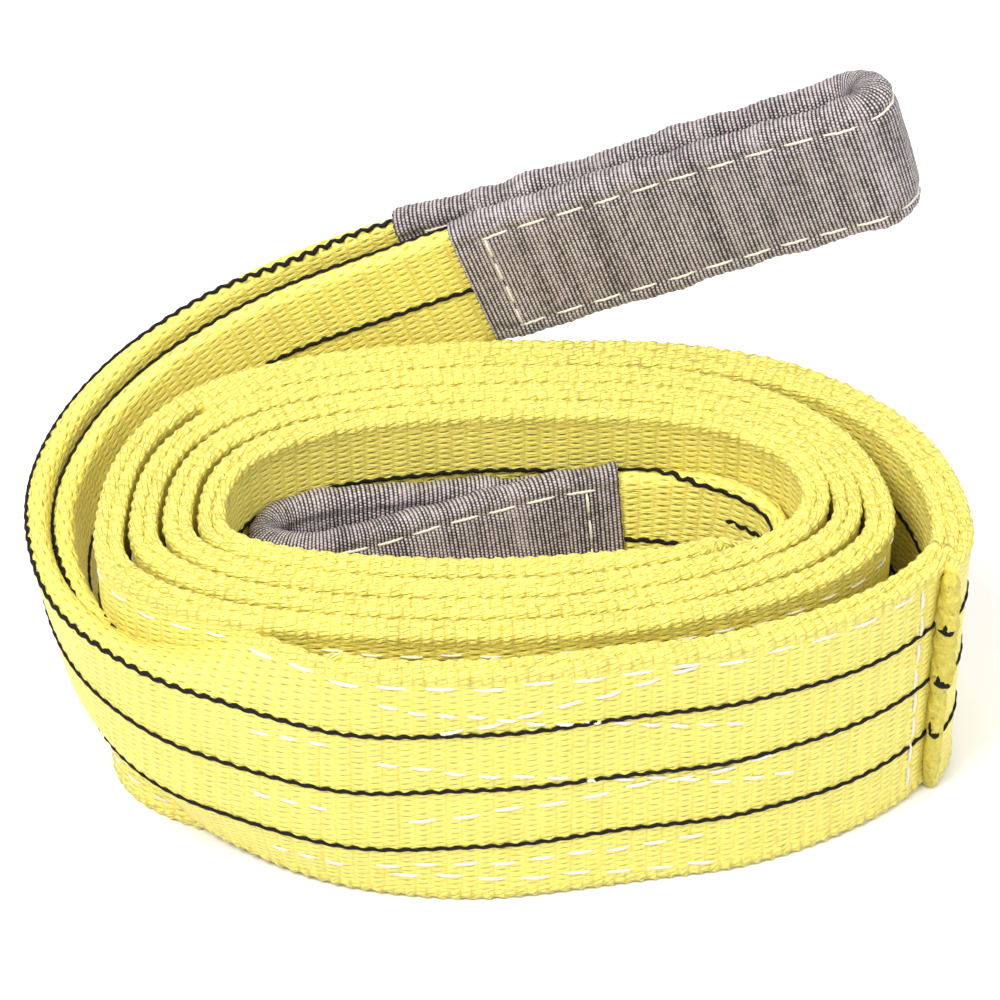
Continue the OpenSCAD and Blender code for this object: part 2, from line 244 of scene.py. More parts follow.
class Web:
    """A length of web: its middle line, the directions across it, and how its edges fold over."""

    def __init__(self, name, line, fold_side, top, bottom, upright,
                 fold_at=(FOLDED_HALF, FOLDED_HALF), radius=FOLD_RADIUS):
        self.name = name
        radius = np.broadcast_to(np.asarray(radius, float), len(line))
        upright = np.broadcast_to(upright, line.shape)
        fold_at = [np.broadcast_to(v, len(line)) for v in fold_at]
        values = [top, bottom, radius, *fold_at, *upright.T]
        self.s, even, values = resample(line, RING_STEP, values)
        values = (blurred(v[:, None], VALUE_BLUR)[:, 0] for v in values)
        top, bottom, radius, high, low, *upright = values
        self.p = blurred(even, LINE_BLUR)
        self.p[:, 1] += front_slack(self.p)
        _, self.out, self.up = frames(self.p, np.stack(upright, 1))
        self.fold_side, self.fold_at = fold_side, (high, low)
        self.top, self.bottom, self.radius = top, bottom, radius
        folded = np.maximum(np.abs(self.top), np.abs(self.bottom)) / math.pi
        self.half = HALF_WIDTH - FOLD_LOSS * smooth(folded)
        self.thick = mix(WEB_THICK, FOLD_THICK, smooth(folded))

    def section(self, rings, w):
        """Places and outward unit vectors on the middle of the ply, w across it, at given rings."""
        upper = w >= 0
        turn = np.where(upper, self.top[rings], self.bottom[rings])
        # A negative turn is a hem that grows in from the edge; a positive one swings the edge over.
        share = np.abs(turn) / math.pi
        half = self.half[rings]
        tight = math.pi * self.radius[rings]
        centre = np.where(upper, self.fold_at[0][rings], self.fold_at[1][rings])
        swing_length = mix(16, tight, share ** 0.6)
        hem_start = mix(half + 0.5, centre - tight / 2, share)
        start = np.where(turn >= 0, centre - swing_length / 2, hem_start)
        length = np.where(turn >= 0, swing_length, tight)
        angle = np.where(turn >= 0, turn, math.pi)
        angle = np.maximum(angle, 1e-4)
        size = np.abs(w)
        along = np.clip(size - start, 0, length)
        beyond = np.maximum(size - start - length, 0)
        bend = length / angle
        phi = along / bend
        high = np.minimum(size, start) + bend * np.sin(phi) + beyond * np.cos(phi)
        deep = bend * (1 - np.cos(phi)) + beyond * np.sin(phi)
        sign = np.where(upper, 1.0, -1.0)
        up, out = self.up[rings], self.out[rings]
        place = self.p[rings] + up * (sign * high)[:, None] - out * (self.fold_side * deep)[:, None]
        normal = up * (self.fold_side * sign * np.sin(phi))[:, None] + out * np.cos(phi)[:, None]
        edge = up * (sign * np.cos(phi))[:, None] - out * (self.fold_side * np.sin(phi))[:, None]
        return place, normal, edge

    def on_face(self, s, w, side, height):
        """Points at a height above one face: side 1 is the outer face and -1 the inner one."""
        at = np.clip(np.asarray(s, float) / (self.s[1] - self.s[0]), 0, len(self.s) - 1.001)
        low = at.astype(int)
        share = (at - low)[:, None]
        w = np.broadcast_to(np.asarray(w, float), at.shape)
        a, na, _ = self.section(low, w)
        b, nb, _ = self.section(low + 1, w)
        thick = mix(self.thick[low], self.thick[low + 1], share[:, 0])
        normal = unit(mix(na, nb, share)) * side
        return mix(a, b, share) + normal * (thick / 2 + height)[:, None], normal


def tube_faces(count, size, caps=True):
    """The corners of a tube's faces in a row, and how many corners each face has."""
    i = np.arange(count - 1)[:, None] * size
    j = np.arange(size)[None, :]
    k = (j + 1) % size
    corners = np.stack([i + j, i + k, i + size + k, i + size + j], -1).ravel()
    sizes = np.full(len(corners) // 4, 4)
    if caps:
        first, last = np.arange(size)[::-1], np.arange(size) + (count - 1) * size
        corners = np.concatenate([corners, first, last])
        sizes = np.concatenate([sizes, [size, size]])
    return corners, sizes


def smooth_mesh(name, points, corners, sizes):
    """A mesh from points in millimetres and faces as tube_faces gives them."""
    mesh = bpy.data.meshes.new(name)
    mesh.vertices.add(len(points))
    mesh.vertices.foreach_set("co", ((points + COIL_AT) * MM).astype(np.float32).ravel())
    mesh.loops.add(len(corners))
    mesh.loops.foreach_set("vertex_index", corners.astype(np.int32))
    mesh.polygons.add(len(sizes))
    mesh.polygons.foreach_set("loop_start", (np.cumsum(sizes) - sizes).astype(np.int32))
    mesh.polygons.foreach_set("loop_total", sizes.astype(np.int32))
    mesh.update(calc_edges=True)
    mesh.polygons.foreach_set("use_smooth", np.ones(len(sizes), bool))
    return mesh


def add_piece(name, mesh, material):
    mesh.validate()
    mesh.materials.append(material)
    piece = bpy.data.objects.new(name, mesh)
    bpy.context.scene.collection.objects.link(piece)
    return piece


def grid_mesh(name, rings, uv, material, caps=True, selvedge=None):
    """A tube from an array of rings, with texture places along it and across it."""
    count, size = rings.shape[:2]
    mesh = smooth_mesh(name, rings.reshape(-1, 3), *tube_faces(count, size, caps))
    along, across = uv
    u = np.stack([along[:-1], along[:-1], along[1:], along[1:]], -1)[:, None, :]
    v = np.stack([across[:-1], across[1:], across[1:], across[:-1]], -1)[None, :, :]
    places = np.stack(np.broadcast_arrays(u, v), -1).reshape(-1, 2)
    if caps:
        places = np.concatenate([places, np.zeros((2 * size, 2))])
    layer = mesh.uv_layers.new(name="Weave")
    layer.data.foreach_set("uv", (places * MM).astype(np.float32).ravel())
    if selvedge is not None:
        edges = mesh.attributes.new("selvedge", "FLOAT", "POINT")
        edges.data.foreach_set("value", selvedge.astype(np.float32))
    return add_piece(name, mesh, material)


def join_tubes(name, tubes, material):
    """One mesh from many small closed tubes, each an array of rings."""
    points, corners, sizes = [], [], []
    base = 0
    for rings in tubes:
        tube_corners, tube_sizes = tube_faces(*rings.shape[:2])
        points.append(rings.reshape(-1, 3))
        corners.append(tube_corners + base)
        sizes.append(tube_sizes)
        base += len(points[-1])
    points, corners, sizes = (np.concatenate(part) for part in (points, corners, sizes))
    return add_piece(name, smooth_mesh(name, points, corners, sizes), material)


# Places across the web's half width, closer together where it folds.
ACROSS = np.concatenate([[0.12, 0.26], np.arange(0.38, 0.97, 0.042), [1.0]])
EDGE_ANGLES = np.linspace(0, math.pi, 10)[1:-1]


def web_mesh(web, material):
    """The web's surface: ribs across it, rounded knobbly selvedges and small holes along them."""
    shares = np.concatenate([-ACROSS[::-1], [0], ACROSS])
    face, turns = len(shares), len(EDGE_ANGLES)
    share = np.concatenate([shares, np.ones(turns), shares[::-1], -np.ones(turns)])
    angle = np.concatenate([np.zeros(face), EDGE_ANGLES, np.full(face, math.pi), EDGE_ANGLES[::-1]])
    count, size = len(web.s), len(share)
    rings = np.repeat(np.arange(count), size)
    w = ((web.half - web.thick / 2)[:, None] * share[None, :]).ravel()
    place, normal, edge = web.section(rings, w)
    angle = np.tile(angle, count)
    s = np.repeat(web.s, size)
    thick = np.repeat(web.thick, size)
    near_edge = smooth((np.abs(w) - (np.repeat(web.half, size) - 5.5)) / 3)
    column = s / WEFT
    rib = np.abs(np.sin(math.pi * column)) ** 0.7 - 0.7
    lean = angle - math.pi / 2
    lump = np.cos(2 * math.pi * column + 2.2 * lean)
    lump += 0.4 * np.cos(4 * math.pi * column - 3.0 * lean + 1.0)
    slot_at = (column / 2) % 1 - 0.5
    on_edge = np.tile(np.abs(share) == 1, count)
    slot = np.exp(-(lean / 0.5) ** 2 - (slot_at * 2 * WEFT / 1.4) ** 2) * on_edge
    wander = 0.10 * np.sin(s / 13.7 + 2.1) + 0.08 * np.sin(s / 7.9)
    puff = 0.10 * np.sin(s / 17.3 + w / 9) * np.sin(w / 6.1 + s / 41)
    height = mix(0.34 * rib + puff, 0.44 + 0.30 * lump - 1.5 * slot, near_edge) + wander * near_edge
    reach = (thick / 2 + height)[:, None]
    point = place + reach * (normal * np.cos(angle)[:, None] + edge * np.sin(angle)[:, None])
    grid = point.reshape(count, size, 3)
    steps = np.linalg.norm(np.diff(grid[count // 3], axis=0), axis=1)
    across = np.concatenate([[0], np.cumsum(steps), [steps.sum() + 1.5]])
    return grid_mesh(web.name, grid, (web.s, across), material, selvedge=near_edge)


# ---------------------------------------------------------------- the sling's webs
FULL = math.pi
EYE_LEAN = math.radians(16.5)
EYE_UPRIGHT = np.array([-math.sin(EYE_LEAN), 0, math.cos(EYE_LEAN)])
EYE_GAP_HALF = 5.9
SLEEVE_THICK = 5.6
BIGHT_THICK = 7.0
BIGHT_FAR = EYE_LENGTH - BIGHT_THICK - EYE_GAP_HALF - 1


def eye_point(u, v):
    """A point of the free eye's middle line: u along it and v across it."""
    x = EYE_X + u * math.cos(EYE_RISE)
    return np.stack([x, EYE_BACK + v, EYE_Z + u * math.sin(EYE_RISE)], -1)


def eye_centre_line(start, side, offset):
    """Half of the eye's loop, from a leg to the middle of the bight; side 1 is the outer leg."""
    u = np.linspace(start, BIGHT_FAR, 120)
    spread = mix(LEG_SPREAD, EYE_GAP_HALF, smooth((u + 10) / 60)) + smooth((u - 120) / 36)
    radius = EYE_GAP_HALF + 1
    turn = np.linspace(0, math.pi / 2, 24)[1:]
    far = BIGHT_FAR + (radius + offset) * np.sin(turn)
    u = np.concatenate([u, far])
    v = np.concatenate([spread + offset, (radius + offset) * np.cos(turn)])
    return eye_point(u, side * v)


LEFT_LIFT = 5.0
LEG_LEAN = 10.0
LEG_RADIUS = 2.1


def leg_curves(reach, front, back):
    start = [-7, -front, HALF_WIDTH]
    left = [-reach, LEFT_AT, HALF_WIDTH + LEFT_LIFT]
    first = [start, [-7 - FRONT_BOW * (reach - 7), -front, HALF_WIDTH],
             [-reach, LEFT_AT - FRONT_BOW * (LEFT_AT + front), HALF_WIDTH + LEFT_LIFT * 0.8], left]
    run = BACK_BOW * (reach + EYE_X)
    second = [left, [-reach, LEFT_AT + BACK_BOW * (back - LEFT_AT), HALF_WIDTH + LEFT_LIFT],
              [EYE_X - run, back, EYE_Z - math.tan(EYE_RISE) * run], [EYE_X, back, EYE_Z]]
    return first, second


def leg_web(name, curves, depth, side, offsets, top, bottom, fold_at):
    """From under the sealed end, over the coil's front, round its left and up into the free eye.

    offsets are how far its middle lies inside the leg's path at the front, the left and the eye.
    """
    coil = coil_line(CUT_QUARTER, LEG_QUARTER, depth)
    t = np.linspace(0.01, 1, 120)
    r = np.linspace(0.02, 0.93, 90)
    lean = [LEG_LEAN * smooth((t - 0.35) / 0.5), LEG_LEAN * (1 - smooth((r - 0.1) / 0.7))]
    # The legs lean out about their upper folds.
    swing = [FOLDED_HALF * np.sin(np.radians(degrees)) for degrees in lean]
    inset = [mix(offsets[0], offsets[1], smooth(t / 0.3)) + swing[0],
             mix(offsets[1], offsets[2], smooth(r / 0.8)) + swing[1]]
    front, back = bezier(curves[0], t), bezier(curves[1], r)
    upright = [leaning(front, lean[0]), leaning(back, lean[1])]
    upright[1] = unit(mix(upright[1], EYE_UPRIGHT, smooth(r / 0.93)[:, None]))
    front = front - left_of(front) * inset[0][:, None]
    back = back - left_of(back) * inset[1][:, None]
    eye = eye_centre_line(4, side, FOLD_RADIUS)
    line = np.concatenate([coil, front, back, eye])
    upright = np.concatenate([np.tile(UPRIGHT, (len(coil), 1)), *upright,
                              np.tile(EYE_UPRIGHT, (len(eye), 1))])
    flat, rest = np.zeros(len(coil)), np.ones(len(back) + len(eye))
    top = np.concatenate([flat, np.radians(top(t)), FULL * side * rest])
    bottom = np.concatenate([flat, np.radians(bottom(t)), FULL * side * rest])
    widening = mix(FOLD_RADIUS, LEG_RADIUS, smooth((t - 0.3) / 0.4))
    narrowing = mix(LEG_RADIUS, FOLD_RADIUS, smooth(r / 0.9))
    radius = np.concatenate([flat + FOLD_RADIUS, widening, narrowing,
                             np.full(len(eye), FOLD_RADIUS)])
    to_eye = np.concatenate([flat, 0 * t, smooth(r / 0.9), np.ones(len(eye))])
    to_sleeve = np.concatenate([flat, 0 * t, 0 * r, smooth((eye[:, 0] - EYE_X - 10) / 14)])
    fold_at = [mix(fold_at[0], SLEEVE_FOLD_AT, to_eye), mix(fold_at[1], SLEEVE_FOLD_AT, to_sleeve)]
    return Web(name, line, side, top, bottom, upright, fold_at, radius)


def outer_leg_web():
    """The free eye's outer leg, whose edges fold in over the inner leg."""
    curves = leg_curves(LEG_REACH, FRONT_FACE, EYE_BACK + LEG_SPREAD + FOLDED_PLY / 2)
    return leg_web("outer_leg_web", curves, INNER_DEPTH, 1, (PLY / 2, 1.5, 1.8),
                   lambda t: np.interp(t, [0, 0.16, 0.3, 0.4, 0.5, 0.6, 0.72, 0.85],
                                       [0, 10, 38, 75, 115, 145, 170, 180]),
                   lambda t: np.interp(t, [0, 0.1, 0.2, 0.36, 0.5, 0.62, 0.8, 0.95],
                                       [0, 10, 15, 24, 36, 60, 140, 180]),
                   (24.6, SLEEVE_FOLD_AT))


def inner_leg_web():
    """The free eye's other leg, which comes back inside the first and ends in the splice."""
    curves = leg_curves(LEG_REACH - FOLDED_PLY - 0.3, FRONT_FACE - PLY - PLY_GAP,
                        EYE_BACK - LEG_SPREAD + FOLDED_PLY / 2)
    return leg_web("inner_leg_web", curves, TAIL_DEPTH, -1, (PLY / 2, 6.2, 4.6),
                   lambda t: -180 * smooth((t - 0.14) / 0.2),
                   lambda t: -180 * smooth((t - 0.17) / 0.35),
                   (20.6, 24.6))


class InnerEye:
    """The eye at the coil's centre: its middle line, and its lean and thickness along it."""

    # Along, across, height, lean towards the loop's inside in degrees, and half thickness,
    # from the end of the back leg round the bight to the end of the front leg.
    points = [[38, 40.4, 43.5, -4, 4.3], [0, 37.2, 44.5, -5, 4.5], [-35, 32.3, 46, -6, 4.9],
              [-56, 28, 46, -6, 4.9], [-68.5, 23.6, 46, -3, 5.2], [-73.8, 16, 46, 0, 5.4],
              [-68.5, 8.6, 46, 8, 5.2], [-55, 6.8, 46, 14, 4.9], [-37, 10.6, 46, 19, 4.9],
              [-20, 18.2, 46.5, 20, 4.9], [0, 25.5, 47.5, 19, 4.8], [20, 32, 49, 17, 4.7],
              [38, 35.2, 50, 15, 4.7]]

    def __init__(self):
        smoothed = spline(self.points, 12)
        self.line = smoothed[:, :3]
        self.upright = leaning(self.line, smoothed[:, 3])
        self.thick = smoothed[:, 4]


def coil_web(name, part, depth, side, turn_at, bow, last, turn_lift, bare_fold):
    """One ply of the body with its half of the inner eye, from the bight's middle.

    turn_at is where it turns back at the right, and bow how far it swings out there. turn_lift is
    the share of its way to the coil over which it stands up straight, and bare_fold is how far
    from its middle it folds outside the sleeve.
    """
    middle = len(inner_eye.line) * 5 // 12
    half = slice(middle, None, -1) if part == "back" else slice(middle, None)
    eye, upright = inner_eye.line[half], inner_eye.upright[half]
    eye = eye - left_of(eye) * (-side * FOLD_RADIUS)
    start, start_z = eye[-1, :2], eye[-1, 2]
    finish = np.array([-7, -(FIRST_FRONT - depth)])
    turn = np.array(turn_at, float)
    to_turn = bezier([start, start + [28, 0], turn + [0, bow], turn], np.linspace(0.1, 1, 40))
    round_turn = bezier([turn, turn - [0, 24], finish + [57, 0], finish],
                        np.linspace(0.03, 0.96, 60))
    leg = np.concatenate([to_turn, round_turn])
    t = np.linspace(0, 1, len(leg))
    # The creases run out to the selvedges, so the web opens to its full width while it stays flat.
    opening = smooth((t - 0.35) / 0.45)
    leg = np.column_stack([leg, mix(start_z, HALF_WIDTH, smooth(t / 0.6))])
    coil = coil_line(BODY_QUARTER, last, depth)
    line = np.concatenate([eye, leg, coil])
    leg_upright = unit(mix(upright[-1], UPRIGHT, smooth(t / turn_lift)[:, None]))
    upright = np.concatenate([upright, leg_upright, np.tile(UPRIGHT, (len(coil), 1))])
    hem = np.concatenate([np.full(len(eye), -FULL), np.where(opening < 1, -FULL, 0),
                          np.zeros(len(coil))])
    out_of_sleeve = np.concatenate([0 * eye[:, 0], smooth(t / 0.12), np.ones(len(coil))])
    opening = np.concatenate([0 * eye[:, 0], opening, np.ones(len(coil))])
    fold_at = [mix(mix(SLEEVE_FOLD_AT, bare, out_of_sleeve), HALF_WIDTH + 2, opening)
               for bare in (bare_fold, SLEEVE_FOLD_AT)]
    return Web(name, line, side, hem, hem, upright, fold_at)


def outer_ply_web():
    turn_at = [FIRST_RIGHT - PLY / 2, 14]
    return coil_web("outer_ply_web", "back", OUTER_DEPTH, 1, turn_at, 8, BEAD_QUARTER, 0.3, 20.0)


def inner_ply_web():
    turn_at = [FIRST_RIGHT - 3 * PLY / 2 - PLY_GAP, 14]
    return coil_web("inner_ply_web", "front", INNER_DEPTH, -1, turn_at, 6, CUT_QUARTER, 0.55, 25.5)


def splice_tail_web():
    line = coil_line(TAIL_QUARTER, CUT_QUARTER, TAIL_DEPTH)
    zero = np.zeros(len(line))
    return Web("splice_tail_web", line, 1, zero, zero, UPRIGHT)


inner_eye = InnerEye()


# ---------------------------------------------------------------- marker yarns and sewing
def tube_along(centre, normal, side, wide, high, twist=0.0, corners=8):
    """A thread with an oval section round a line of points."""
    psi = np.linspace(0, 2 * math.pi, corners, endpoint=False)
    wide, high = np.broadcast_to(wide, len(centre)), np.broadcast_to(high, len(centre))
    lumps = 1
    if np.ndim(twist):
        lumps = 1 + 0.16 * np.cos(2 * psi[None, :] + np.asarray(twist).reshape(-1, 1))
    a = (np.cos(psi)[None, :] * wide[:, None] * lumps)[..., None] * side[:, None, :]
    b = (np.sin(psi)[None, :] * high[:, None] * lumps)[..., None] * normal[:, None, :]
    return centre[:, None, :] + a + b


def sideways(line, normal):
    """Unit vectors on a face, across a line that runs along it."""
    return unit(np.cross(unit(np.gradient(line, axis=0)), normal))


def yarn_tube(web, w, side, start, end):
    """A woven marker yarn: it steps a little to one side at each rib, and dips between them."""
    s = np.arange(start, end, 1.15)
    phase = s / (WEFT * 1.08) + w * 0.11
    drift = 0.35 * np.sin(s / 21 + w) + 0.22 * np.sin(s / 8.3)
    wiggle = 0.36 * np.sin(2 * math.pi * phase) + drift
    beat = 0.5 - 0.5 * np.cos(2 * math.pi * phase + 0.9)
    points, normal = web.on_face(s, w + wiggle, side, 0.10 + 0.16 * beat)
    return tube_along(points, normal, sideways(points, normal), 0.62 + 0.30 * beat,
                      0.44 + 0.12 * beat, corners=6)


TWIST_PITCH = 1.9
STITCH_SINK = 0.35
STEPS = np.linspace(0, 1, 13)


def stitch(web, s, w, side, rise, dash, wide):
    """One dash of twisted thread, which comes up out of a face and goes back into it."""
    arch = np.sin(math.pi * STEPS) ** 0.5
    points, normal = web.on_face(s, w, side, rise * arch - STITCH_SINK)
    size = 0.35 + 0.65 * arch
    return tube_along(points, normal, sideways(points, normal), wide * size, 0.75 * wide * size,
                      twist=2 * math.pi * STEPS * dash / TWIST_PITCH)


def stitch_row(web, side, start, end, w_start, w_end, dash, pitch, wide, wave=0.0):
    """Dashes of thread along one face of a web, from one place across it to another."""
    tubes = []
    length = end - start
    for n in range(int(length / pitch + 0.5)):
        along = n * pitch + STEPS * dash
        sway = wave * np.sin(2 * math.pi * (n * pitch / 37.0) + 1.3)
        w = mix(w_start, w_end, along / length) + sway
        tubes.append(stitch(web, start + along, w, side, 0.62, dash, wide))
    return tubes


def cross_row(web, side, s_at, w_from, w_to, dash, pitch, wide, slant=0.0):
    """Dashes of thread across the web."""
    tubes = []
    length = abs(w_to - w_from)
    for n in range(int(length / pitch + 0.5)):
        share = (n * pitch + STEPS * dash) / length
        s = s_at + slant * share + 0.5 * np.sin(n * pitch * 2.3)
        tubes.append(stitch(web, s, mix(w_from, w_to, share), side, 0.72, dash, wide))
    return tubes


# ---------------------------------------------------------------- wear sleeves
SLEEVE_HALF_HIGH = 24.4
SLEEVE_WALL = 1.3
SLEEVE_CORNERS = 112
# How far from a sleeve's middle its two long rows of sewing run.
SLEEVE_ROW_AT = SLEEVE_HALF_HIGH - 6.5
SWELL_PITCH = 5.8


def stadium(corners):
    """Shares round a stadium: along its straight sides, and the sine and cosine round its caps."""
    cap = np.linspace(0, math.pi, corners // 4)
    flat = np.linspace(-1, 1, corners // 4)[1:-1]
    straight = np.concatenate([flat, 1 + 0 * cap, -flat, -1 + 0 * cap])
    n_high = np.concatenate([0 * flat, np.sin(cap), 0 * flat, -np.sin(cap)])
    n_deep = np.concatenate([0 * flat + 1, np.cos(cap), 0 * flat - 1, -np.cos(cap)])
    return straight, n_high, n_deep


class Sleeve:
    """A flattened woven tube round the folded web of an eye."""

    def __init__(self, line, upright, thick):
        self.s, even, values = resample(line, 0.9, [thick, *np.broadcast_to(upright, line.shape).T])
        self.p = blurred(even, LINE_BLUR)
        self.thick, *upright = (blurred(v[:, None], VALUE_BLUR)[:, 0] for v in values)
        _, self.out, self.up = frames(self.p, np.stack(upright, 1))
        seeds = np.random.default_rng(7)
        # Soft swellings between the stitches, about one for each.
        reach = self.s[-1] + 6
        self.swell = np.interp(self.s, np.arange(0, reach, SWELL_PITCH),
                               seeds.uniform(-1, 1, int(reach / SWELL_PITCH) + 1))
        self.swell = blurred(self.swell[:, None], 3)[:, 0]

    def relief(self, s, high, n_high):
        """The cloth's height above the plain tube: ribs, soft lumps and a groove at each seam."""
        swell = np.interp(s, self.s, self.swell)
        ribs = 0.17 * np.sin(2 * math.pi * (s + 0.6 * np.sin(high / 7 + s / 9)) / 3.2)
        wide = 0.17 * np.sin(s / 2.1 + 0.8 * np.sin(s / 17 + high / 13))
        pinch = np.abs(n_high) * swell
        crease = 0.30 * np.sin(s / 4.9 + high / 23) * np.sin(s / 19 + high / 11)
        groove = -0.95 * np.exp(-((np.abs(high) - SLEEVE_ROW_AT) / 1.5) ** 2)
        # The web inside keeps the cloth from sinking far.
        return np.maximum(ribs + wide + pinch + crease + groove, -0.9)

    def mesh(self, name, material):
        straight, n_high, n_deep = stadium(SLEEVE_CORNERS)
        thick = self.thick[:, None]
        high = straight * (SLEEVE_HALF_HIGH - thick) + n_high * thick
        deep = n_deep * thick
        relief = self.relief(self.s[:, None], high, n_high)
        up, out = self.up[:, None, :], self.out[:, None, :]

        def wall(offset):
            h = high + n_high * (offset + relief)
            d = deep + n_deep * (offset + relief)
            return self.p[:, None, :] + up * h[..., None] + out * d[..., None]

        outside, inside = wall(0), wall(-SLEEVE_WALL)
        first, last = unit(self.p[0] - self.p[2]), unit(self.p[-1] - self.p[-3])
        fray = 0.25 * np.sin(np.arange(len(straight)) * 1.9)[:, None]
        rims = [mix(outside[-1], inside[-1], t)[None] + (0.4 + fray) * last for t in (0.2, 0.8)]
        back = [mix(inside[0], outside[0], t)[None] + (0.4 + fray) * first for t in (0.2, 0.8)]
        rings = np.concatenate([outside, *rims, inside[::-1], *back, outside[:1]])
        # The cloth's texture follows whichever face is the longer one round the eye's bend.
        faces = [self.p + self.out * side * thick for side in (1, -1)]
        longer = np.max([np.linalg.norm(np.diff(face, axis=0), axis=1) for face in faces], axis=0)
        cloth = np.concatenate([[0], np.cumsum(longer)])
        end = cloth[-1]
        along = np.concatenate([cloth, [end + 0.5, end + 1], cloth[::-1], [-0.5, -0.2], [0]])
        steps = np.linalg.norm(np.diff(outside[0], axis=0), axis=1)
        across = np.concatenate([[0], np.cumsum(steps), [steps.sum() + 1]])
        piece = grid_mesh(name, rings, (along, across), material, caps=False)
        weld(piece)
        return piece

    def on_face(self, s, high, side, height):
        at = np.clip(np.asarray(s, float) / (self.s[1] - self.s[0]), 0, len(self.s) - 1.001)
        low = at.astype(int)
        share = (at - low)[:, None]
        high = np.broadcast_to(np.asarray(high, float), at.shape)
        p, up, out = (mix(v[low], v[low + 1], share) for v in (self.p, self.up, self.out))
        relief = self.relief(at * (self.s[1] - self.s[0]), high, 0 * high)
        lift = self.thick[low] + height + relief
        return p + up * high[:, None] + out * (side * lift)[:, None], out * side


def weld(piece):
    """Joins vertices that lie on each other."""
    mesh = bmesh.new()
    mesh.from_mesh(piece.data)
    bmesh.ops.remove_doubles(mesh, verts=mesh.verts, dist=1e-6)
    mesh.to_mesh(piece.data)
    mesh.free()
    piece.data.update()


# ---------------------------------------------------------------- materials
class Nodes:
    """A small helper to write a material's node tree as a formula."""

    def __init__(self, name):
        self.material = bpy.data.materials.new(name)
        self.material.use_nodes = True
        self.tree = self.material.node_tree
        self.shader = self.tree.nodes["Principled BSDF"]

    def add(self, kind, **settings):
        node = self.tree.nodes.new(kind)
        for key, value in settings.items():
            setattr(node, key, value)
        return node

    def put(self, socket, value):
        if isinstance(value, bpy.types.NodeSocket):
            self.tree.links.new(value, socket)
        else:
            socket.default_value = value

    def math(self, operation, a, b=0.0, c=0.0):
        node = self.add("ShaderNodeMath", operation=operation)
        for socket, value in zip(node.inputs, (a, b, c), strict=True):
            self.put(socket, value)
        return node.outputs[0]

    def noise(self, vector, scale, detail=2.0):
        node = self.add("ShaderNodeTexNoise")
        self.put(node.inputs["Vector"], vector)
        node.inputs["Scale"].default_value = scale
        node.inputs["Detail"].default_value = detail
        return node.outputs["Fac"]

    def colours(self, share, a, b):
        node = self.add("ShaderNodeMix", data_type="RGBA")
        self.put(node.inputs[0], share)
        self.put(node.inputs[6], a if isinstance(a, bpy.types.NodeSocket) else (*a, 1))
        self.put(node.inputs[7], b if isinstance(b, bpy.types.NodeSocket) else (*b, 1))
        return node.outputs[2]

    def bump(self, height, strength, distance):
        node = self.add("ShaderNodeBump")
        self.put(node.inputs["Height"], height)
        node.inputs["Strength"].default_value = strength
        node.inputs["Distance"].default_value = distance
        self.put(self.shader.inputs["Normal"], node.outputs[0])

    def place(self):
        return self.add("ShaderNodeTexCoord").outputs["Object"]

    def weave(self, along, across, slant, softness):
        """Height from 0 to 1 of woven floats, in columns that each lie half a row off the next.

        Also gives a random value for each float, the crown of its column and a round knot for it.
        """
        split = self.add("ShaderNodeSeparateXYZ")
        self.put(split.inputs[0], self.add("ShaderNodeUVMap", uv_map="Weave").outputs[0])
        wobble = self.math("MULTIPLY", self.noise(self.place(), 160.0), 0.5)
        column = self.math("DIVIDE", split.outputs[0], along)
        x = self.math("FRACT", column)
        number = self.math("FLOOR", column)
        odd = self.math("MULTIPLY_ADD", self.math("MODULO", number, 2.0), 0.5, wobble)
        row = self.math("ADD", self.math("DIVIDE", split.outputs[1], across), odd)
        row = self.math("MULTIPLY_ADD", self.math("SUBTRACT", x, 0.5), slant, row)
        y = self.math("FRACT", row)
        rise = self.math("SINE", self.math("MULTIPLY", x, math.pi))
        ridge = self.math("POWER", rise, 0.9)
        off_middle = self.math("ABSOLUTE", self.math("MULTIPLY_ADD", y, 2.0, -1.0))
        between = self.math("POWER", off_middle, softness)
        short = self.math("POWER", rise, 1.8)
        height = self.math("SUBTRACT", 1.0, self.math("MULTIPLY", between, short))
        round_off = self.math("POWER", self.math("SINE", self.math("MULTIPLY", y, math.pi)), 0.6)
        knot = self.math("MULTIPLY", ridge, round_off)
        cell = self.add("ShaderNodeCombineXYZ")
        self.put(cell.inputs[0], number)
        self.put(cell.inputs[1], self.math("FLOOR", row))
        white = self.add("ShaderNodeTexWhiteNoise", noise_dimensions="2D")
        self.put(white.inputs["Vector"], cell.outputs[0])
        return height, white.outputs["Value"], ridge, knot

    def fibres(self, across, along):
        """Fine streaks that run along the cloth."""
        stretch = self.add("ShaderNodeVectorMath", operation="MULTIPLY")
        self.put(stretch.inputs[0], self.add("ShaderNodeUVMap", uv_map="Weave").outputs[0])
        stretch.inputs[1].default_value = (along, across, 1)
        return self.noise(stretch.outputs[0], 1.0, 1.0)

    def finish(self, roughness, sheen=0.0):
        self.shader.inputs["Roughness"].default_value = roughness
        self.shader.inputs["Sheen Weight"].default_value = sheen
        self.shader.inputs["Sheen Roughness"].default_value = 0.4
        return self.material


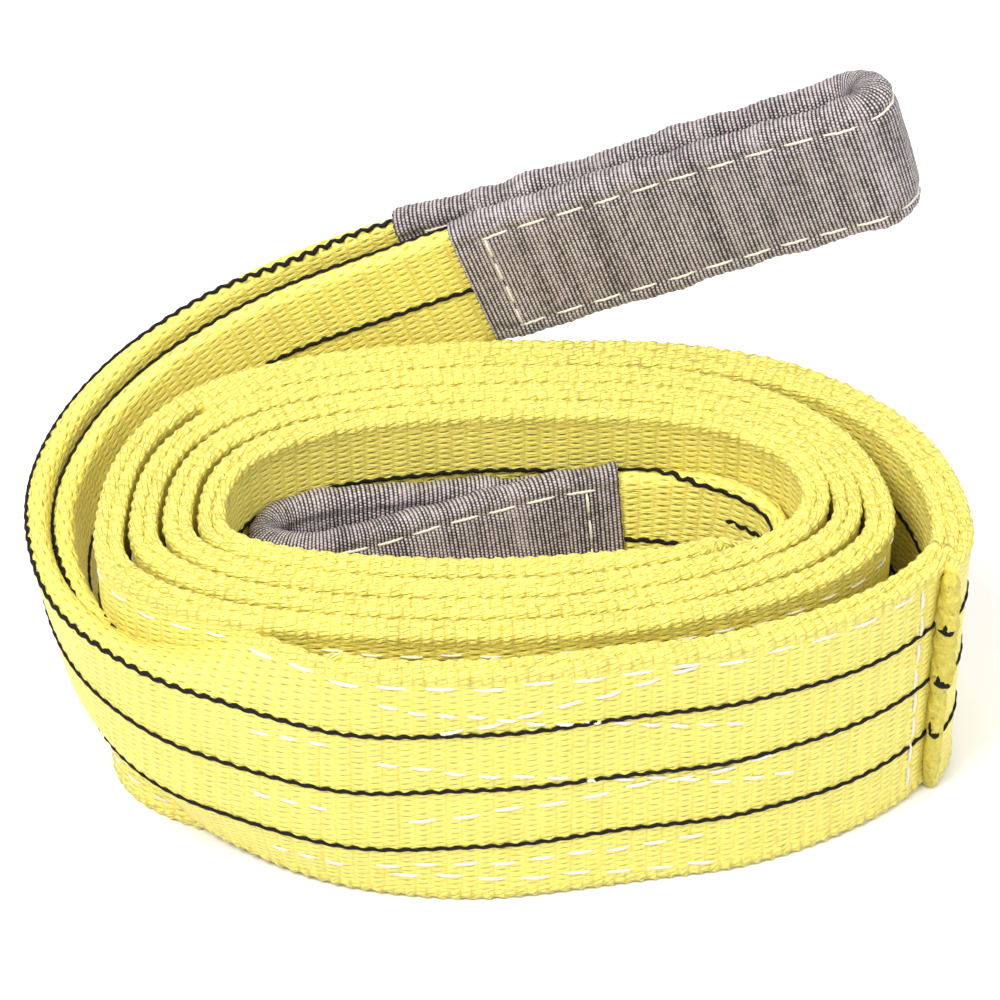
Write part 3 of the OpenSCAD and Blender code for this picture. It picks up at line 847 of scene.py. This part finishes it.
def yellow_web():
    n = Nodes("yellow_web")
    height, cell, ridge, _ = n.weave(WEFT * MM, 2.2 * MM, 0.2, 2.6)
    _, knot_cell, _, knot = n.weave(3.3 * MM, 1.9 * MM, 0.5, 1.6)
    selvedge = n.add("ShaderNodeAttribute", attribute_name="selvedge").outputs["Fac"]
    patches = n.noise(n.place(), 22.0)
    streaks = n.fibres(2400.0, 520.0)
    woven = n.math("MULTIPLY_ADD", ridge, 0.36, n.math("MULTIPLY", height, 0.66))
    knots = n.math("MULTIPLY_ADD", knot, 0.55, n.math("MULTIPLY_ADD", knot_cell, 0.2, 0.36))
    level = n.math("ADD", n.math("MULTIPLY", woven, n.math("SUBTRACT", 1.0, selvedge)),
                   n.math("MULTIPLY", knots, selvedge))
    level = n.math("MULTIPLY_ADD", streaks, 0.50, level)
    level = n.math("MULTIPLY_ADD", cell, 0.14, level)
    bands = n.math("SUBTRACT", n.fibres(14.0, 230.0), 0.5)
    level = n.math("MULTIPLY_ADD", bands, 0.45, level)
    # Painted shade: the base colour follows the weave's level, which is also its bump. It goes to a
    # tan-brown in the low places, the hollows between floats, knots and ribs. The random value of
    # each float and the streaks in the level also vary the tone.
    painted_shade = n.math("SMOOTH_MIN", n.math("MULTIPLY_ADD", level, 1.10, -0.28), 1.0, 0.25)
    bright = n.colours(patches, (0.82, 0.69, 0.052), (0.92, 0.80, 0.090))
    # Painted highlight: the strongest fibre streaks lift the colour towards a pale cream glint.
    painted_highlight = n.math("MULTIPLY", n.math("MULTIPLY", streaks, streaks), 0.9)
    bright = n.colours(painted_highlight, bright, (1.0, 0.95, 0.45))
    n.put(n.shader.inputs["Base Color"], n.colours(painted_shade, (0.30, 0.215, 0.004), bright))
    n.bump(level, 1.0, 0.0010)
    return n.finish(0.42, 0.1)


def grey_sleeve():
    n = Nodes("grey_sleeve")
    _, cell, ridge, knot = n.weave(1.35 * MM, 1.0 * MM, 0.0, 1.4)
    patches = n.noise(n.place(), 70.0, 3.0)
    streaks = n.fibres(3500.0, 500.0)
    level = n.math("MULTIPLY_ADD", ridge, 0.50, n.math("MULTIPLY", knot, 0.60))
    level = n.math("MULTIPLY_ADD", cell, 0.35, level)
    level = n.math("MULTIPLY_ADD", streaks, 0.30, level)
    bands = n.math("SUBTRACT", n.fibres(9.0, 120.0), 0.5)
    level = n.math("MULTIPLY_ADD", bands, 0.75, level)
    bright = n.colours(patches, (0.45, 0.37, 0.375), (0.84, 0.74, 0.75))
    # Painted shade: the base colour follows the weave's level, which is also its bump. It goes
    # near-black in the low places between cells, ribs and soft bands. The random value of each cell
    # in the level also varies the tone.
    painted_shade = n.math("SMOOTH_MIN", n.math("MULTIPLY_ADD", level, 1.6, -1.05), 1.0, 0.2)
    painted_shade = n.math("MAXIMUM", painted_shade, 0.0)
    n.put(n.shader.inputs["Base Color"], n.colours(painted_shade, (0.030, 0.020, 0.020), bright))
    n.bump(level, 1.0, 0.0007)
    return n.finish(0.40, 0.1)


def black_yarn():
    n = Nodes("black_yarn")
    fine = n.noise(n.place(), 700.0)
    colour = n.colours(fine, (0.002, 0.0015, 0.001), (0.012, 0.009, 0.008))
    n.put(n.shader.inputs["Base Color"], colour)
    n.bump(fine, 0.4, 0.0003)
    n.shader.inputs["Specular IOR Level"].default_value = 0.25
    return n.finish(0.8)


def white_thread():
    n = Nodes("white_thread")
    fine = n.noise(n.place(), 1500.0)
    n.put(n.shader.inputs["Base Color"], n.colours(fine, (0.60, 0.54, 0.42), (0.93, 0.90, 0.80)))
    n.bump(fine, 0.4, 0.0003)
    return n.finish(0.55)


def melted_end():
    n = Nodes("melted_end")
    fine = n.noise(n.place(), 420.0, 5.0)
    spots = n.math("GREATER_THAN", n.noise(n.place(), 300.0, 2.0), 0.66)
    base = n.colours(fine, (0.40, 0.31, 0.02), (0.88, 0.77, 0.14))
    speckled = n.colours(n.math("MULTIPLY", spots, 0.55), base, (0.30, 0.13, 0.03))
    n.put(n.shader.inputs["Base Color"], speckled)
    n.bump(fine, 1.0, 0.0022)
    return n.finish(0.5)


def pale_floor():
    n = Nodes("pale_floor")
    fine = n.noise(n.place(), 8.0)
    n.put(n.shader.inputs["Base Color"], n.colours(fine, (0.90, 0.90, 0.90), (0.92, 0.92, 0.92)))
    return n.finish(0.9)


# ---------------------------------------------------------------- building
add_camera()
yellow, grey, black = yellow_web(), grey_sleeve(), black_yarn()
white, melted = white_thread(), melted_end()

all_webs = (outer_ply_web(), inner_ply_web(), splice_tail_web(), outer_leg_web(), inner_leg_web())
webs = {web.name: web for web in all_webs}
replaced = {
    "outer_ply_web": ["body_outer_ply"],
    "inner_ply_web": ["body_inner_ply", "inner_eye_web", "inner_eye_legs"],
    "splice_tail_web": ["splice_tail"],
    "outer_leg_web": ["outer_leg_root", "outer_leg_end", "outer_eye_web"],
    "inner_leg_web": ["inner_leg_root", "inner_leg_end"],
}


def attach(piece, web_name):
    """Coil pieces ride on the coil, and the legs have their placing baked into their meshes."""
    if web_name in ("outer_leg_web", "inner_leg_web"):
        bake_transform(piece)
    else:
        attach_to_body(piece, "coil")


# The marker yarns are made on the face that shows: 1 is the outer one and -1 the inner one.
seen_face = {"outer_ply_web": 1, "inner_ply_web": -1, "splice_tail_web": -1,
             "outer_leg_web": 1, "inner_leg_web": -1}
for web in webs.values():
    piece = web_mesh(web, yellow)
    attach(piece, web.name)
    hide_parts(*replaced[web.name])
    tubes = [yarn_tube(web, w, seen_face[web.name], 2, web.s[-1] - 2)
             for w in (-FOLDED_HALF, 0, FOLDED_HALF)]
    yarns = join_tubes(web.name.replace("_web", "_yarns"), tubes, black)
    attach(yarns, web.name)
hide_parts("marker_yarns")

# Wear sleeves
outer_line = np.concatenate([eye_centre_line(8, 1, 0), eye_centre_line(26.5, -1, 0)[::-1][1:]])
far = smooth((outer_line[:, 0] - outer_line[:, 0].max() + 26) / 20)
outer_sleeve = Sleeve(outer_line, EYE_UPRIGHT, mix(SLEEVE_THICK, BIGHT_THICK, far))
inner_sleeve = Sleeve(inner_eye.line, inner_eye.upright, inner_eye.thick)
for sleeve, name, node, body in ((outer_sleeve, "outer_sleeve", "outer_eye_sleeve", "outer_eye"),
                                 (inner_sleeve, "inner_sleeve", "inner_eye_sleeve", "coil")):
    piece = sleeve.mesh(name, grey)
    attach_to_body(piece, body)
    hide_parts(node)
    level, length = SLEEVE_ROW_AT, sleeve.s[-1]
    rows = []
    # The small eye's legs touch, so only its outer face shows its sewing.
    for side in (1, -1) if body == "outer_eye" else (-1,):
        for high in (level, -level):
            rows += stitch_row(sleeve, side, 8, length - 8, high, high,
                               dash=10.2, pitch=12.6, wide=0.5)
        for s_at in (9, length - 10):
            rows += cross_row(sleeve, side, s_at, level, -level - 1, dash=7.5, pitch=9.5, wide=0.5)
    thread = join_tubes(name + "_thread", rows, white)
    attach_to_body(thread, body)
    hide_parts(node.replace("eye_sleeve", "sleeve_seams"))

# Splice sewing on the coil's front, and edge rows on the turn behind it
leg = webs["outer_leg_web"]
rows = cross_row(leg, 1, 17, 41, -41, slant=-1.5, dash=9.6, pitch=10.2, wide=0.66)
# Each row's start and end along the leg, its places across it there, and its stitches' length.
splice_rows = ((20, 226, 40, 40, 10), (92, 172, 39, 22, 8), (77, 186, 14, 34, 6),
               (60, 186, -11, 12, 7), (66, 186, -1, -12, 9), (88, 186, -29, -30, 8),
               (84, 180, -41, -34, 9), (200, 222, 17, 17, 6), (200, 222, -9, -8, 6),
               (196, 222, -33, -31, 6))
for start, end, w_start, w_end, dash in splice_rows:
    rows += stitch_row(leg, 1, start, end, w_start, w_end,
                       dash=dash, pitch=dash * 1.42, wide=0.62, wave=0.6)
piece = join_tubes("splice_thread", rows, white)
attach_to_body(piece, "coil")
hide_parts("splice_seams")

body = webs["outer_ply_web"]
rows = []
for w in (37, -37):
    rows += stitch_row(body, 1, body.s[-1] - 1150, body.s[-1] - 60, w, w,
                       dash=7, pitch=11.5, wide=0.48, wave=0.6)
piece = join_tubes("edge_thread", rows, white)
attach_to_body(piece, "coil")
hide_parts("edge_seams")


def sealed_end(name, web, at_end, swell):
    """The lumpy melted bead on a cut end of the web, in two lobes where the blade was set twice."""
    psi = np.linspace(0, 2 * math.pi, 28, endpoint=False)
    s_end = np.full(170, web.s[-1] if at_end else 0.0)
    w = np.linspace(-web.half[0] + 1, web.half[0] - 1, 170)
    faces = [web.on_face(s_end, w, side, 0) for side in (1, -1)]
    normal = faces[0][1]
    heading = unit(web.p[-1] - web.p[-4] if at_end else web.p[0] - web.p[3])
    lobe = smooth((w + 3) / 4)
    size = swell * mix(0.86, 1.12, lobe) * (1 + 0.07 * np.sin(w / 3.1) + 0.05 * np.sin(w / 1.3 + 2))
    size *= np.sqrt(np.clip(1 - (np.abs(w) / (web.half[0] - 0.6)) ** 10, 0.04, 1))
    middle = (faces[0][0] + faces[1][0]) / 2 + normal * (swell * mix(0.02, 0.2, lobe))[:, None]
    lumps = 1 + 0.06 * np.sin(3 * psi[None, :] + w[:, None] / 2.2)
    lumps += 0.05 * np.sin(5 * psi[None, :] - w[:, None] / 1.4)
    lumps += 0.03 * np.sin(11 * psi[None, :] + w[:, None] * 2.9)
    a = np.cos(psi)[None, :] * size[:, None] * lumps
    b = np.sin(psi)[None, :] * size[:, None] * 0.75 * lumps
    rings = middle[:, None, :] + a[..., None] * normal[:, None, :] + b[..., None] * heading
    return join_tubes(name, [rings], melted), rings


def end_marks(rings):
    """Where the marker yarns come out of the sealed end: a stroke round it and a smear along it."""
    tubes = []
    count, size = rings.shape[:2]
    front = size // 4
    for n, share in enumerate((0.25, 0.5, 0.75)):
        ring = int(count * share)
        reach = 12 if n == 0 else 8
        middle = rings[ring:ring + reach].mean(1)
        stroke = rings[ring, front - 5:front + 3]
        smear = rings[ring:ring + reach, front + 1 - n]
        for line, centre, wide in ((stroke, middle[0], 1.4), (smear, middle, 0.8)):
            normal = unit(line - centre)
            taper = np.sin(np.linspace(0.5, math.pi - 0.1, len(line)))
            tubes.append(tube_along(line, normal, sideways(line, normal), wide * taper, 0.3 * taper,
                                    corners=6))
    return tubes


bead, bead_rings = sealed_end("sealed_end_outer", webs["outer_ply_web"], True, 3.3)
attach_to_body(bead, "coil")
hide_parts("sealed_web_ends")
marks = join_tubes("sealed_end_marks", end_marks(bead_rings), black)
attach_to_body(marks, "coil")
tail_bead, _ = sealed_end("sealed_end_tail", webs["splice_tail_web"], False, 2.1)
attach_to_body(tail_bead, "coil")


# ---------------------------------------------------------------- stage
def add_floor():
    mesh = bpy.data.meshes.new("floor")
    size = 4.0
    corners = [(-size, -size, 0), (size, -size, 0), (size, size, 0), (-size, size, 0)]
    mesh.from_pydata(corners, [], [(0, 1, 2, 3)])
    mesh.materials.append(pale_floor())
    floor = bpy.data.objects.new("floor", mesh)
    bpy.context.scene.collection.objects.link(floor)
    floor.location.z = -0.0005


def add_light(name, place, size, power):
    data = bpy.data.lights.new(name, "AREA")
    data.shape = "DISK"
    data.size = size
    data.energy = power
    light = bpy.data.objects.new(name, data)
    light.location = place
    aim = Vector((0, 0, 0.05)) - Vector(place)
    light.rotation_euler = aim.to_track_quat("-Z", "Y").to_euler()
    bpy.context.scene.collection.objects.link(light)


add_floor()
add_light("key", (-0.6, -0.6, 1.3), 0.7, 20)
add_light("fill", (0.9, -0.5, 0.9), 1.0, 6)
add_light("top", (0.1, 0.5, 1.5), 1.0, 8)
world = bpy.data.worlds.new("World")
world.use_nodes = True
world.node_tree.nodes["Background"].inputs["Color"].default_value = (1, 1, 1, 1)
world.node_tree.nodes["Background"].inputs["Strength"].default_value = 0.60
bpy.context.scene.world = world
bpy.context.scene.view_settings.view_transform = "Standard"
